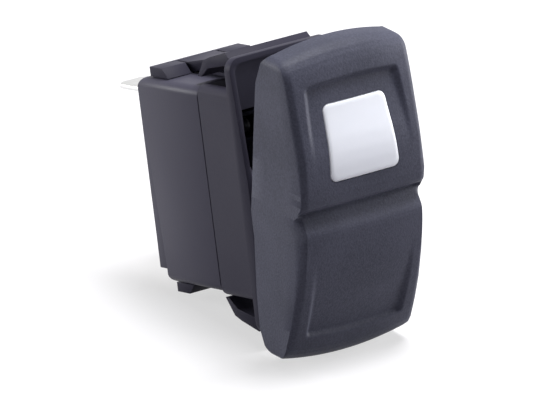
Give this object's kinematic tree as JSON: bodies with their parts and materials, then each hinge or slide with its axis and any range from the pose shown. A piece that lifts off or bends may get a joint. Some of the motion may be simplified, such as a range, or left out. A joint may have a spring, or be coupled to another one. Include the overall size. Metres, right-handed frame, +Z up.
{
  "type": "panel rocker switch",
  "caption": "Snap-in panel rocker switch with a sculpted rocker, a square lens in its upper half, sprung wings at both ends and blade terminals at the back.",
  "frame": {"origin": "centre of the panel cut-out, in the plane of the flange's rear face", "axes": "+X to the right seen from the front, +Y back through the panel towards the terminals, +Z up along the switch's length"},
  "size_m": [0.0248, 0.0602, 0.0555],
  "materials": {
    "case_nylon": "fine moulded, satin",
    "bracket_nylon": "fine moulded, satin",
    "seal_rubber": "matt",
    "rocker_plastic": "fine spark-eroded texture",
    "lens_white": "translucent white, satin",
    "clear_guide": "clear, polished",
    "yoke_plastic": "plain moulded",
    "plunger_nylon": "natural nylon",
    "spring_steel": "bright wire",
    "blade_copper": "bright copper alloy",
    "contact_silver": "silver",
    "terminal_brass": "bright",
    "terminal_tinned": "tinned",
    "board_green": "printed board",
    "lamp_epoxy": "diffused epoxy",
    "resistor_body": "lacquered"
  },
  "bodies": {
    "case": {"base_housing": "case_nylon", "mounting_bracket": "bracket_nylon", "base_seal": "seal_rubber", "common_terminal": "terminal_brass", "load_terminal": "terminal_brass", "load_contact": "contact_silver", "lamp_terminal_upper": "terminal_tinned", "lamp_terminal_lower": "terminal_tinned", "lamp_board": "board_green", "lamp_led": "lamp_epoxy", "lamp_resistor": "resistor_body"},
    "rocker": {"rocker_shell": "rocker_plastic", "indicator_lens": "lens_white", "lens_gasket": "seal_rubber", "light_guide": "clear_guide", "rocker_yoke": "yoke_plastic", "plunger_spring": "spring_steel"},
    "plunger": {"plunger": "plunger_nylon"},
    "contact_blade": {"contact_blade": "blade_copper", "blade_contact": "contact_silver"}
  },
  "joints": [
    {"name": "rocker_tilt", "type": "hinge", "parent": "case", "child": "rocker", "pos_m": [0, 0.001, 0], "axis": [1, 0, 0], "range_deg": [-22, 0]},
    {"name": "blade_rock", "type": "hinge", "parent": "case", "child": "contact_blade", "pos_m": [0.0047, 0.0136, 0], "axis": [1, 0, 0], "range_deg": [0, 11]},
    {"name": "plunger_slide", "type": "slide", "parent": "rocker", "child": "plunger", "axis": [0, -0.9816, -0.1908], "range_m": [0, 0.0008], "stiffness_N_per_m": 300, "springref_m": -0.0012, "deforming": ["plunger_spring"]}
  ],
  "couplings": [
    {"joint": "blade_rock", "follows": "rocker_tilt", "ratio": -0.5}
  ]
}
